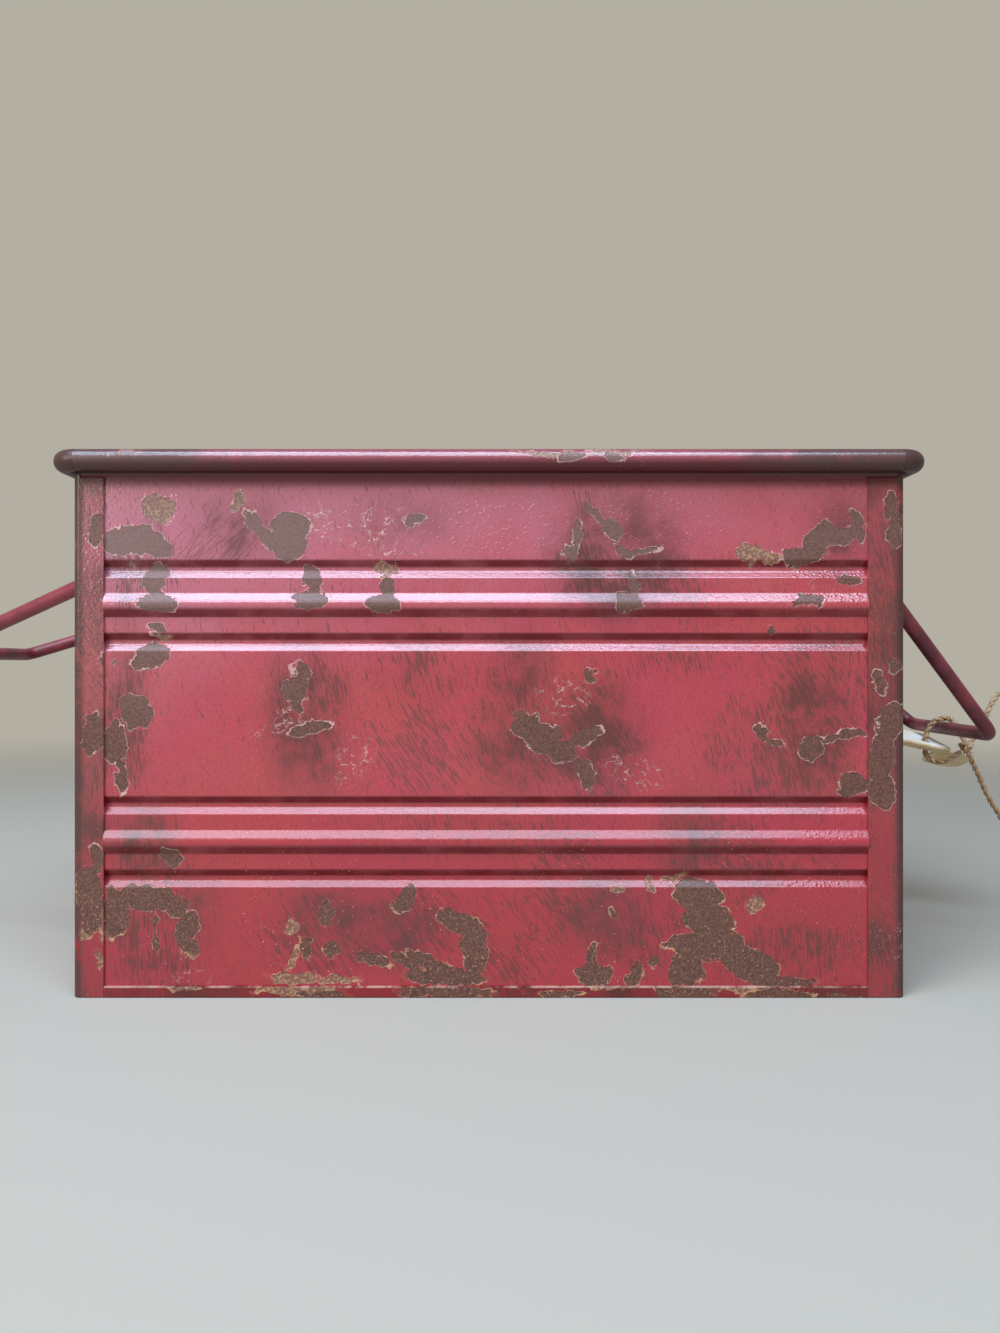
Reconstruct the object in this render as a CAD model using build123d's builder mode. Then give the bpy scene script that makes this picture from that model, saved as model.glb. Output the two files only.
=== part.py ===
# A sheet-metal storage bin, open at the top, with a wire handle hinged on each short side.
# Two ribbed panels make the front and back. Two plain side panels bend round the four corners
# and lap over them. A shallow pan closes the bottom, and the top edge of every panel is rolled
# outwards over one wire that runs right round the rim. A folded card tag hangs on twine from
# the right handle. Millimetres, +Z up, front towards -Y, origin under the middle of the base.
from math import asin, cos, degrees, pi, radians, sin, tan
import os

from build123d import *

# Body
body_width = 300.0  # over the side walls
body_depth = 230.0  # over the corner laps
total_height = 197.0  # floor to the top of the rolled rim
sheet = 0.8  # thickness of every panel
corner_radius = 2.5  # outside bend of a side panel at a corner
foot_radius = 0.6  # rounding of the bottom edges
left_lap = 11.2  # how far the left side panel laps onto the front and back
right_lap = 13.4
seam_gap = 0.1  # between the edges of neighbouring sheets

# Rolled rim
rim_wire_radius = 3.0
hem_bore = 3.15  # inside of the rolled sheet
hem_turn = 318.0  # degrees of roll, ending just short of the wall
hem_height = total_height - hem_bore - sheet
rim_cut_depth = 30.0  # front to back, more than the roll and the lap under it take up

# Ribs, the same on the front and back. Each is a bend with a rounded crest or bottom.
rib_groups = (56.1, 141.5)  # height of the bead in the middle of each group
groove_offset = 13.2  # from the bead to the groove above it and the one below it
groove_edge = 3.3  # from the middle of a groove to where its flanks start
groove_low_point = 0.1  # below its middle
groove_bend = 2.3  # depth at which its flanks would meet
bead_edge = 4.4
bead_bend = 2.8
groove_radii = (1.0, 2.0, 1.6)  # lower edge, bottom, upper edge
bead_radii = (1.2, 3.4, 1.2)

# The front and back stand behind the laps and step forward under the rim
step_foot = hem_height - 5.6
step_top = hem_height - 4.1
step_radius = 1.0

# Bottom pan
pan_lip = 4.2  # front and back edges, folded up outside the panels
pan_flange = 8.0  # side edges, folded up inside the side walls

# Handles
wire_radius = 3.0
grip_length = 84.0  # between the corners of the wire
hinge_spread = 150.0  # between its corners at the hinge
arm_reach = 92.0  # from the hinge axis to the grip
grip_bend = 7.0
hinge_bend = 6.0
stub_end = 46.0  # the hinge stubs turn inwards and stop here
stub_chamfer = 0.5
hinge_height = 156.4
hinge_play = 0.2  # between a stub and the wall
left_drop = 19.6  # degrees below level
right_drop = 46.3

# Straps that hold the handles, and their rivets
strap_sheet = 1.0
strap_width = 14.0
strap_height = 30.0
strap_corner = 3.0
strap_place = 57.0  # from the middle of the side
strap_play = 0.3
rivet_spacing = 20.0
rivet_shank = 1.6
rivet_head = 3.0
rivet_head_rise = 1.5
rivet_tail = 2.7
rivet_tail_rise = 0.9

# Folded card tag: an upper leaf, a band turned under along its front edge, and a lower leaf
# that starts part way along the band and reaches further right
card = 0.6
fold_start = (195.1, -1.0, 84.8)
fold_radius = 0.5
fold_slope = 12.0  # degrees down towards the right
upper_leaf_width = 23.5
upper_leaf_depth = 34.0
upper_leaf_rise = 8.0  # degrees
upper_leaf_corner = 4.5
band_depth = 6.5
free_root = 3.0  # where the free part of the lower leaf starts, behind the fold
lower_leaf_start = 18.0  # along the fold
lower_leaf_width = 19.0
lower_leaf_depth = 23.5
lower_leaf_drop = 20.0
lower_leaf_corner = 7.0
tag_hole = 2.1
tag_hole_inset = 7.0  # behind the fold
tag_hole_place = 13.4  # along the fold

# Twine: a loop over the grip and through the tag, a knot, and two loose tails
twine_radius = 1.3
knot_radius = 3.2
knot_overlap = 0.35
knot_place = (224.0, -3.0, 81.5)
over_grip = 4.75  # from the middle of the grip to the middle of the twine above it

half_width = body_width / 2
half_depth = body_depth / 2
hinge_out = half_width + hinge_play + wire_radius
grip_x = hinge_out + arm_reach * cos(radians(right_drop))
grip_z = hinge_height - arm_reach * sin(radians(right_drop))


def rolled_edge():
    """The sheet at the top of a wall, rolled outwards round the rim wire and back under it."""
    with BuildLine() as outline:
        inside = CenterArc((hem_bore, hem_height), hem_bore, 180, -hem_turn)
        outside = CenterArc((hem_bore, hem_height), hem_bore + sheet, 180, -hem_turn)
        Line(inside @ 0, outside @ 0)
        Line(inside @ 1, outside @ 1)
    make_face(outline.edges())


# Side panels: one sheet each, bent round two corners
def side_panel(lap):
    """The right-hand side panel, lapping that far onto the front and back."""
    lap_edge = half_width - lap
    lap_top = step_foot - seam_gap
    rim_joint = half_width - corner_radius - seam_gap
    corners = [
        (lap_edge, -half_depth),
        (half_width, -half_depth),
        (half_width, half_depth),
        (lap_edge, half_depth),
    ]
    with BuildPart() as panel:
        with BuildLine() as bend_line:
            FilletPolyline(*corners, radius=corner_radius)
        with BuildSketch(Plane((lap_edge, -half_depth, 0), x_dir=(0, -1, 0), z_dir=(-1, 0, 0))) as section:
            Rectangle(sheet, hem_height, align=(Align.MAX, Align.MIN))
            fillet(section.vertices().group_by(Axis.Y)[0].sort_by(Axis.X)[-1], radius=foot_radius)
            rolled_edge()
        sweep(path=bend_line.wires()[0])
        # above the laps, the rims of the front and back start close to the corners
        cut = (rim_joint - lap_edge + 1, rim_cut_depth, 2 * (total_height - lap_top))
        for end in (-1, 1):
            with Locations((rim_joint, end * half_depth, total_height)):
                Box(*cut, align=(Align.MAX, Align.CENTER, Align.CENTER), mode=Mode.SUBTRACT)
        with Locations(Plane.YZ.offset(half_width)):
            with GridLocations(2 * strap_place, rivet_spacing, 2, 2):
                with Locations((0, hinge_height)):
                    Hole(rivet_shank)
    return panel.part


right_pressing = side_panel(right_lap)
left_pressing = side_panel(left_lap)

with BuildPart() as right_side_panel:
    add(right_pressing)
right_side_panel.part.label = "right_side_panel"

with BuildPart() as left_side_panel:
    mirror(left_pressing, about=Plane.YZ)
left_side_panel.part.label = "left_side_panel"

# Front panel: ribbed sheet behind the laps, with a closed end to each bead at the laps' edges
panel_face = -sheet
panel_half_width = half_width - corner_radius - 2 * seam_gap
bead_start = -(half_width - left_lap - seam_gap)
bead_end = half_width - right_lap - seam_gap


def bead_points(height):
    """The corners of one bead, from its lower edge to its upper edge."""
    crest = (panel_face + bead_bend, height)
    return [(panel_face, height - bead_edge), crest, (panel_face, height + bead_edge)]


def groove_points(height):
    """The corners of one groove, from its lower edge to its upper edge."""
    bottom = (panel_face - groove_bend, height - groove_low_point)
    return [(panel_face, height - groove_edge), bottom, (panel_face, height + groove_edge)]


def panel_section(with_beads):
    """The panel's section from its foot to the end of its rolled rim."""
    points = [(panel_face, sheet)]
    radii = []
    for middle in rib_groups:
        points += groove_points(middle - groove_offset)
        radii += groove_radii
        if with_beads:
            points += bead_points(middle)
            radii += bead_radii
        points += groove_points(middle + groove_offset)
        radii += groove_radii
    points += [(panel_face, step_foot), (0, step_top), (0, hem_height)]
    radii += [step_radius, step_radius]
    with BuildLine() as outline:
        FilletPolyline(*points, radius=radii)
        offset(amount=sheet, side=Side.LEFT)
    make_face(outline.edges())
    rolled_edge()


def across(x):
    """An upright plane square to the front, facing right, with its first axis pointing forward."""
    return Plane((x, -half_depth, 0), x_dir=(0, -1, 0), z_dir=(-1, 0, 0))


with BuildPart() as front_panel:
    with BuildSketch(across(bead_end)):
        panel_section(with_beads=True)
    extrude(amount=bead_end - bead_start)
    with BuildSketch(across(panel_half_width)):
        panel_section(with_beads=False)
    extrude(amount=panel_half_width - bead_end)
    with BuildSketch(across(bead_start)):
        panel_section(with_beads=False)
    extrude(amount=panel_half_width + bead_start)
    for bead in rib_groups:
        for inner_end in (bead_end, bead_start + sheet):
            with BuildSketch(across(inner_end)):
                with BuildLine():
                    lower, crest, upper = bead_points(bead)
                    below = (panel_face, bead - bead_edge - 1)
                    above = (panel_face, bead + bead_edge + 1)
                    FilletPolyline(below, lower, crest, upper, above, radius=bead_radii)
                    back_face = panel_face - sheet
                    Polyline(above, (back_face, above[1]), (back_face, below[1]), below)
                make_face()
            extrude(amount=sheet)
front_panel.part.label = "front_panel"

with BuildPart() as back_panel:
    mirror(front_panel.part, about=Plane.XZ)
back_panel.part.label = "back_panel"

# Bottom pan: floor, a low lip outside the front and back, a flange inside each side wall
floor_half_width = half_width - sheet
floor_half_depth = half_depth - sheet
lip_middle = (bead_start + bead_end) / 2
with BuildPart() as bottom_pan:
    with BuildSketch():
        RectangleRounded(2 * floor_half_width, 2 * floor_half_depth, corner_radius - sheet)
    extrude(amount=sheet)
    for end in (-1, 1):
        with Locations((lip_middle, end * (half_depth - sheet / 2), pan_lip / 2)):
            Box(bead_end - bead_start, sheet, pan_lip)
        with Locations((end * (floor_half_width - sheet / 2), 0, pan_flange / 2)):
            Box(sheet, 2 * (floor_half_depth - 2 * sheet), pan_flange)
    foot_edges = bottom_pan.edges().filter_by(Axis.X).group_by(Axis.Z)[0].group_by(Axis.Y)
    fillet(foot_edges[0] + foot_edges[-1], radius=foot_radius)
bottom_pan.part.label = "bottom_pan"

# Rim wire: one closed loop inside the rolled edge
loop_x = half_width + hem_bore
loop_y = half_depth + hem_bore
with BuildPart() as rim_wire:
    loop_corners = [(-loop_x, -loop_y), (loop_x, -loop_y), (loop_x, loop_y), (-loop_x, loop_y)]
    with BuildLine(Plane.XY.offset(hem_height)) as rim_line:
        FilletPolyline(*loop_corners, radius=corner_radius + hem_bore, close=True)
    rim_path = rim_line.wires()[0]
    with BuildSketch(Plane(rim_path @ 0, z_dir=rim_path % 0)):
        Circle(rim_wire_radius)
    sweep(path=rim_path)
rim_wire.part.label = "rim_wire"


# Handles: one length of wire each, with its ends turned in as hinge stubs
def handle(drop):
    """The right-hand handle, hanging that many degrees below level."""
    along = (cos(radians(drop)), 0, -sin(radians(drop)))
    arm_plane = Plane((hinge_out, 0, hinge_height), x_dir=along, z_dir=(-along[2], 0, along[0]))
    half_spread = hinge_spread / 2
    half_grip = grip_length / 2
    corners = [
        (0, stub_end),
        (0, half_spread),
        (arm_reach, half_grip),
        (arm_reach, -half_grip),
        (0, -half_spread),
        (0, -stub_end),
    ]
    with BuildPart() as bail:
        with BuildLine(arm_plane) as wire_line:
            FilletPolyline(*corners, radius=[hinge_bend, grip_bend, grip_bend, hinge_bend])
        wire_path = wire_line.wires()[0]
        with BuildSketch(Plane(wire_path @ 0, z_dir=wire_path % 0)):
            Circle(wire_radius)
        sweep(path=wire_path)
        end_faces = bail.faces().filter_by(GeomType.PLANE)
        chamfer(end_faces.edges(), length=stub_chamfer)
    return bail.part


right_bail = handle(right_drop)
left_bail = handle(left_drop)

with BuildPart() as right_handle:
    add(right_bail)
right_handle.part.label = "right_handle"

with BuildPart() as left_handle:
    mirror(left_bail, about=Plane.YZ)
left_handle.part.label = "left_handle"

# Strap: a saddle over a hinge stub, flat against the right-hand wall above and below it
saddle_bore = wire_radius + strap_play
saddle_outside = saddle_bore + strap_sheet
stub_out = hinge_out - half_width
strap_foot = strap_height / 2
with BuildPart() as strap:
    strap_plane = Plane((half_width, strap_width / 2, hinge_height), x_dir=(1, 0, 0), z_dir=(0, -1, 0))
    with BuildSketch(strap_plane):
        with BuildLine():
            Polyline((0, -strap_foot), (0, -saddle_bore), (stub_out, -saddle_bore))
            CenterArc((stub_out, 0), saddle_bore, -90, 180)
            Polyline((stub_out, saddle_bore), (0, saddle_bore), (0, strap_foot), (strap_sheet, strap_foot))
            Polyline((strap_sheet, strap_foot), (strap_sheet, saddle_outside), (stub_out, saddle_outside))
            CenterArc((stub_out, 0), saddle_outside, 90, -180)
            Polyline((stub_out, -saddle_outside), (strap_sheet, -saddle_outside), (strap_sheet, -strap_foot))
            Line((strap_sheet, -strap_foot), (0, -strap_foot))
        make_face()
    extrude(amount=strap_width)
    foot_corners = strap.edges().filter_by(Axis.X).group_by(Axis.Z)
    fillet(foot_corners[0] + foot_corners[-1], radius=strap_corner)
    with Locations(Plane.YZ.offset(half_width)):
        with GridLocations(1, rivet_spacing, 1, 2):
            with Locations((0, hinge_height)):
                Hole(rivet_shank)

# Rivet: domed head outside, flat upset tail inside, along X with the wall's outer face at zero
tail_end = -sheet - rivet_tail_rise
head_top = strap_sheet + rivet_head_rise
dome_radius = (rivet_head**2 + rivet_head_rise**2) / (2 * rivet_head_rise)
dome_angle = degrees(asin(rivet_head / dome_radius))
with BuildPart() as rivet:
    with BuildSketch(Plane.XY):
        with BuildLine():
            Polyline((head_top, 0), (tail_end, 0), (tail_end, rivet_tail), (-sheet, rivet_tail))
            Polyline((-sheet, rivet_tail), (-sheet, rivet_shank), (strap_sheet, rivet_shank))
            Line((strap_sheet, rivet_shank), (strap_sheet, rivet_head))
            CenterArc((head_top - dome_radius, 0), dome_radius, 0, dome_angle)
        make_face()
    revolve(axis=Axis.X)

hardware = []
for side_name, turn in (("right", 0), ("left", 180)):
    for end_name, end in (("front", -1), ("rear", 1)):
        with BuildPart() as clip:
            with Locations(Location((0, end * strap_place, 0), (0, 0, turn))):
                add(strap.part)
        clip.part.label = f"{side_name}_{end_name}_strap"
        with BuildPart() as rivets:
            with Locations(Location((0, end * strap_place, 0), (0, 0, turn))):
                for up in (-rivet_spacing / 2, rivet_spacing / 2):
                    with Locations((half_width, 0, hinge_height + up)):
                        add(rivet.part)
        rivets.part.label = f"{side_name}_{end_name}_rivets"
        hardware += [clip.part, rivets.part]

# Card tag
fold_line = (cos(radians(fold_slope)), 0, -sin(radians(fold_slope)))
tag_plane = Plane(fold_start, x_dir=(0, 1, 0), z_dir=fold_line)


def behind_fold(distance, rise):
    """A point of the tag's section, that far behind the fold and rising by that many degrees."""
    return (distance * cos(radians(rise)), distance * sin(radians(rise)))


def corner_edges():
    """The edges that run through the thickness of the card."""
    return card_tag.edges().filter_by(lambda edge: abs(edge.length - card) < 0.01)


def far_corners(leaf_depth):
    """The corner edges at the far end of a leaf that is that deep."""
    return corner_edges().filter_by(lambda edge: abs(edge.center().Y - leaf_depth) < upper_leaf_corner)


with BuildPart() as card_tag:
    with BuildSketch(tag_plane):
        with BuildLine():
            upper_tip = behind_fold(upper_leaf_depth, upper_leaf_rise)
            FilletPolyline(upper_tip, (0, 0), behind_fold(band_depth, -lower_leaf_drop), radius=fold_radius)
            offset(amount=card, side=Side.RIGHT)
        make_face()
    extrude(amount=upper_leaf_width)
    with BuildSketch(tag_plane.offset(lower_leaf_start)):
        with BuildLine():
            Line(behind_fold(free_root, -lower_leaf_drop), behind_fold(lower_leaf_depth, -lower_leaf_drop))
            offset(amount=card, side=Side.RIGHT)
        make_face()
    extrude(amount=lower_leaf_width)
    fillet(far_corners(upper_leaf_depth), radius=upper_leaf_corner)
    fillet(far_corners(lower_leaf_depth), radius=lower_leaf_corner)
    fillet(corner_edges().sort_by(Axis.X)[-1], radius=lower_leaf_corner)
    with Locations(tag_plane.offset(tag_hole_place)):
        with Locations(Location((tag_hole_inset, 0, 0), (90, 0, 0))):
            Hole(tag_hole)
card_tag.part.label = "card_tag"


# Twine: a tube of straight runs and arcs along a list of points
def bend_radii(points):
    """The arc at each inner point, as large as its two runs allow."""
    places = [Vector(*point) for point in points]
    radii = []
    for before, here, after in zip(places, places[1:], places[2:]):
        shorter = min((here - before).length, (after - here).length)
        half_turn = radians((here - before).get_angle(after - here)) / 2
        radii.append(0.45 * shorter / tan(half_turn))
    return radii


def twine(label, points):
    """One piece of twine, with its radii and volume printed."""
    radii = bend_radii(points)
    with BuildPart() as tube:
        with BuildLine() as route:
            FilletPolyline(*points, radius=radii)
        path = route.wires()[0]
        with BuildSketch(Plane(path @ 0, z_dir=path % 0)):
            Circle(twine_radius)
        sweep(path=path)
    by_length = pi * twine_radius**2 * path.length
    print(label, "length", round(path.length, 1), "radii", [round(radius, 1) for radius in radii])
    print(label, "volume", round(tube.part.volume, 1), "section times length", round(by_length, 1))
    tube.part.label = label
    return tube.part


def in_knot(point):
    """Where twine that comes from a point ends, just inside the surface of the knot."""
    towards = (Vector(*point) - Vector(*knot_place)).normalized()
    return tuple(Vector(*knot_place) + towards * (knot_radius - knot_overlap))


right_of_grip = (grip_x + over_grip, 1.5, grip_z + over_grip)
twine_loop = twine(
    "twine_loop",
    [
        in_knot(right_of_grip),
        right_of_grip,
        (grip_x - over_grip, 4.0, grip_z + over_grip),
        (208.0, 6.0, 85.5),
        (208.5, 6.0, 75.0),
        (214.5, -3.5, 73.5),
        in_knot((214.5, -3.5, 73.5)),
    ],
)
lower_tail = twine(
    "lower_tail",
    [
        in_knot((226.5, -3.5, 75.0)),
        (226.5, -3.5, 75.0),
        (229.8, -3.0, 68.8),
        (232.4, -2.0, 63.0),
        (236.9, -1.0, 55.0),
        (242.0, -0.5, 47.5),
        (245.5, -1.0, 40.5),
        (246.8, -2.0, 34.5),
    ],
)
upper_tail = twine(
    "upper_tail",
    [
        in_knot((230.8, -1.5, 88.0)),
        (230.8, -1.5, 88.0),
        (236.5, 2.0, 97.5),
        (241.5, 4.5, 105.0),
        (248.5, 6.5, 109.0),
        (255.5, 7.5, 105.5),
        (259.5, 7.0, 98.0),
        (261.0, 6.0, 90.5),
    ],
)
with BuildPart() as knot:
    with Locations(knot_place):
        Sphere(knot_radius)
knot.part.label = "knot"

os.makedirs("parts", exist_ok=True)
pieces = [
    front_panel.part,
    back_panel.part,
    left_side_panel.part,
    right_side_panel.part,
    bottom_pan.part,
    rim_wire.part,
    left_handle.part,
    right_handle.part,
    *hardware,
    card_tag.part,
    twine_loop,
    lower_tail,
    upper_tail,
    knot.part,
]
for piece in pieces:
    export_step(piece, f"parts/{piece.label}.step")
    print(piece.label, "volume", round(piece.volume, 1))
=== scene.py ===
import random
from math import cos, pi, radians, sin

import bmesh
import bpy
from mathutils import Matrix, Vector


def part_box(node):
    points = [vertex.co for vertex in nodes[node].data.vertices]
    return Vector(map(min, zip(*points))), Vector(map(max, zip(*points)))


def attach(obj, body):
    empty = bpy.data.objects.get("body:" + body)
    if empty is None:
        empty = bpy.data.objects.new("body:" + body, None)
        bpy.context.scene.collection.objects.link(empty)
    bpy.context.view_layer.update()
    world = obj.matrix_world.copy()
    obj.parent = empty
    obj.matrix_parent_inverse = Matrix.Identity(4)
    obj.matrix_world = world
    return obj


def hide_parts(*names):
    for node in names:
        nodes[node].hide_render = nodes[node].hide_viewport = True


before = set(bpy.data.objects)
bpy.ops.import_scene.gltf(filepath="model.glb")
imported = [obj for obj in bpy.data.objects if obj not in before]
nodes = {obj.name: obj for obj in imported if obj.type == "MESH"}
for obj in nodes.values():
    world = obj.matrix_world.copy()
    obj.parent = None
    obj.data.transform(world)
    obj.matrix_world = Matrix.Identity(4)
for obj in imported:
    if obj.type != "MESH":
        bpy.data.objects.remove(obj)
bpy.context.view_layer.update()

scene = bpy.context.scene
mm = 0.001
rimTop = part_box("front_panel")[1].z / mm    # top of the rolled rim, in millimetres

# Settings that many nodes share
smooth = {"interpolation_type": "SMOOTHSTEP"}
mixing = {"data_type": "RGBA"}
times, plus, minus = {"operation": "MULTIPLY"}, {"operation": "ADD"}, {"operation": "SUBTRACT"}
least, most, unsigned = {"operation": "MINIMUM"}, {"operation": "MAXIMUM"}, {"operation": "ABSOLUTE"}
scaleAndShift = {"operation": "MULTIPLY_ADD"}


def srgb(hexCode):
    # sRGB hex to the linear colour that a shader wants
    steps = [int(hexCode[i:i + 2], 16) / 255 for i in (1, 3, 5)]
    return tuple(c / 12.92 if c <= 0.04045 else ((c + 0.055) / 1.055) ** 2.4 for c in steps) + (1.0,)


def feed(tree, socket, source):
    # a node gives its first open output, an output is linked, and a number, vector or hex colour is set
    if isinstance(source, bpy.types.Node):
        source = next(output for output in source.outputs if output.enabled)
    if isinstance(source, bpy.types.NodeSocket):
        tree.links.new(source, socket)
    elif source is not None:
        socket.default_value = srgb(source) if isinstance(source, str) else source


def addNode(tree, kind, *sources, **settings):
    # settings are the node's own, and sources feed its open inputs in order, where None skips one
    node = tree.nodes.new("ShaderNode" + kind)
    for key, value in settings.items():
        setattr(node, key, value)
    for socket, source in zip([socket for socket in node.inputs if socket.enabled], sources):
        feed(tree, socket, source)
    return node


def newMaterial(name):
    material = bpy.data.materials.new(name)
    material.use_nodes = True
    tree = material.node_tree
    tree.nodes.clear()
    shader = addNode(tree, "BsdfPrincipled")
    addNode(tree, "OutputMaterial", shader)
    return material, tree, shader


def objectPoint(tree):
    # the surface point in millimetres
    return addNode(tree, "VectorMath", addNode(tree, "TexCoord").outputs["Object"], 1 / mm, operation="SCALE")


def noiseMasks(tree, point, patterns):
    # each pattern: width of a blotch in millimetres, detail, roughness, the two noise values between
    # which its mask rises from 0 to 1, and its least and greatest value where these aren't 0 and 1
    masks = {}
    for name, (size, detail, rough, *band) in patterns.items():
        noise = addNode(tree, "TexNoise", point, 1 / size, detail, rough)
        masks[name] = addNode(tree, "MapRange", noise, *band, **smooth)
    return masks


def layered(tree, colour, layers):
    # each layer: where it lies, its strength, and the colour that it brings
    for mask, strength, tone in layers:
        amount = addNode(tree, "Math", mask, strength, **times)
        colour = addNode(tree, "Mix", amount, colour, tone, **mixing)
    return colour


def nearestSpot(tree, point, spots):
    # Distance in millimetres to the nearest of some ellipses on the x z plane, negative inside them.
    # The result so far rides along as the point's y, so the renderer works through the spots in turn
    # and holds only a few of them at a time. The ellipses are so deep that y has no part in them.
    axes = addNode(tree, "SeparateXYZ", point).outputs
    nearest = None
    for count, (x, z, wide, high, turn) in enumerate(spots, 1):
        local = addNode(tree, "Mapping", point, (x, 0, z), (0, radians(-turn), 0), (wide, 1e6, high),
                        vector_type="TEXTURE")
        radius = addNode(tree, "VectorMath", local, operation="LENGTH")
        size = min(wide, high)
        reach = addNode(tree, "Math", radius, size, -size, **scaleAndShift)
        nearest = reach if nearest is None else addNode(tree, "Math", nearest, reach, **least)
        if count % 4 == 0 or count == len(spots):
            point = addNode(tree, "CombineXYZ", axes["X"], nearest, axes["Z"])
    return nearest, point


# Enamelled steel sheet, sprayed red over a dark brown primer, then flaked, scraped and dry-brushed.
# The eye gets a satin red with a soft sheen, dull grey-brown bare patches with pale ragged lips.
paint = {
    "red": "#B43346", "deepRed": "#881E2E", "warmRed": "#B43A40", "low": "#942028", "paintedSheen": "#B9889E",
    "brown": "#482A26", "rimRed": "#7C2733", "grimeAndShadow": "#3E1416", "shade": "#641319", "handled": "#4B3431",
    "bare": "#754F44", "bareDark": "#563931", "pit": "#463630", "tan": "#7E564A", "gold": "#A98260",
    "sheenOnMetal": "#9C8684", "lip": "#E0B8AB", "goldLip": "#CFA67A",
    "sheenStrength": 0.46, "haze": 0.74,                # how strong the painted sheen at the top is, and how dark the smudges are
    "roughness": 0.46, "gloss": 0.15, "coat": 1.0, "coatRoughness": 0.21, "coatIor": 1.8,
    # heights in millimetres
    "film": 0.16, "lipHeight": 0.16, "peel": 0.09, "pimple": 0.1,
    # widths in millimetres: a dimple of the orange peel, a pimple, a bend of a crack, a blotch of the painted
    # sheen
    "peelSize": 1.3, "pimpleSize": 1.5, "wormSize": 4.6, "sheenSize": 26.0,
    "warps": ((13.0, 6.5), (4.2, 5.4)),          # blotch size and reach of each warp of the outlines
    "tooth": 0.9, "toothReach": 0.45,
    "flakeSize": 24.0, "flakeLevel": 0.36,       # the flakes that only noise places
    # millimetres from a bare patch's outline: its soft edge, its lip and that lip's fall to each side
    "softEdge": 0.14, "lipAt": 0.2, "lipFall": (0.24, 0.1),
    "tanFall": (0.6, -0.6),                      # from dark metal to tan, in millimetres
    "crackWidth": (0.026, 0.012),                # in steps of the noise that draws the worms
    "pimpleWidth": (0.5, 0.1),                   # in widths of a pimple
    "sheenLean": -0.2, "sheenUneven": 44.0,        # rise of the painted sheen's front across the bin, and its reach
    "edgeHighlightLine": None, "darkBend": False,
}
paintPatterns = {
    "mottle": (34.0, 3, 0.55, 0.35, 0.65), "speckle": (0.7, 2, 0.6, 0.34, 0.66),
    "patches": (11.0, 3, 0.6, 0.34, 0.64, 0.45, 1.0), "shadeBreaks": (14.0, 4, 0.6, 0.3, 0.6, 0.6, 0.9),
    "crackBreaks": (4.0, 2, 0.5, 0.36, 0.5), "lipBreaks": (7.0, 2, 0.5, 0.44, 0.56, 0.1, 1.0),
    "bendBreaks": (8.0, 3, 0.6, 0.24, 0.5), "edgeHighlightBreaks": (9.0, 4, 0.7, 0.4, 0.6),
    "metal": (0.75, 3, 0.7, 0.36, 0.66), "pits": (1.3, 2, 0.6, 0.56, 0.64),
    "grains": (0.9, 2, 0.6, 0.6, 0.68), "tan": (1.1, 2, 0.6, 0.48, 0.62),
    "tanZones": (30.0, 1, 0.5, 0.52, 0.6), "specks": (0.9, 1, 0.4, 0.72, 0.76),
    "speckZones": (22.0, 2, 0.6, 0.42, 0.6),
}
# Bands over the bin: an axis, and the millimetres above the floor or from the middle between which the
# band rises from 0 to 1, or between the two values after them
bands = {
    "rim": ("Z", rimTop - 9.4, rimTop - 7.6), "upToRim": ("Z", rimTop - 14.5, rimTop - 10.0),
    # deep: a darker red towards the bottom, painted shade of the light falling from above
    "belowRoll": ("Z", rimTop - 3.4, rimTop - 6.0), "deep": ("Z", 100.0, 20.0), "lowDown": ("Z", 62.0, 20.0),
    "lowSpecks": ("Z", 80.0, 30.0, 0.2, 1.0), "lowSheen": ("Z", 84.0, 60.0, 0.0, 0.4),
    "nearEnds": ("X", 56.0, 138.0), "nearCorners": ("Y", 50.0, 100.0),
    "bendX": ("X", 144.6, 148.2), "bendY": ("Y", 109.0, 113.5), "onLaps": ("Y", 106.0, 112.0, 0.0, 6.0),
}
sheenFront = (132.0, 226.0)                       # heights between which the painted sheen comes in, in millimetres
# How far a face has to look one way, where 1 is straight there
placedFaces = (0.2, 0.5, 40.0, 0.0)              # and the millimetres that placed wear is kept off others
downwardFaces = (-0.08, -0.62)
handDirt = {"size": 7.0, "ends": 0.5, "band": (0.5, 1.0)}    # a blotch in mm, and how much the corners add
# Where each kind of wear lies: on the front, by its spots' outlines, between a distance outside them
# where it starts and one inside them where it is full, and elsewhere by noise
zoneFades = {
    "crackle": (1.0, -3.0), "wrinkle": (2.0, -6.0), "streaks": (7.0, -14.0), "slanted": (7.0, -14.0),
    "rising": (5.0, -8.0), "edgeStreaks": (5.0, -10.0), "smudge": (8.0, -12.0),
}
zonePatterns = {
    "crackle": (60.0, 1, 0.5, 0.6, 0.72, 0.0, 0.8), "wrinkle": (60.0, 1, 0.5, 0.42, 0.34, 0.0, 0.5),
    "streaks": (55.0, 1, 0.5, 0.46, 0.62), "slanted": (70.0, 1, 0.5, 0.5, 0.62),
    "rising": (64.0, 1, 0.5, 0.56, 0.66), "edgeStreaks": (48.0, 2, 0.5, 0.5, 0.66),
    "smudge": (40.0, 2, 0.5, 0.5, 0.64),
}
# The dry brush's strokes in each zone: degrees from upright, cover and strength. A stroke's width is in
# millimetres, and its length in widths. Wrinkled film takes fewer strokes, and streaks leave a haze.
brushStrokes = {
    "streaks": (12, 0.22, 0.62), "slanted": (34, 0.23, 0.6), "rising": (-42, 0.22, 0.5),
    "edgeStreaks": (2, 0.24, 0.66),
}
brush = {"width": 0.6, "length": 9.0, "band": (0.63, 0.75), "wrinkleLoss": 0.75, "haze": 0.3}

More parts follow.
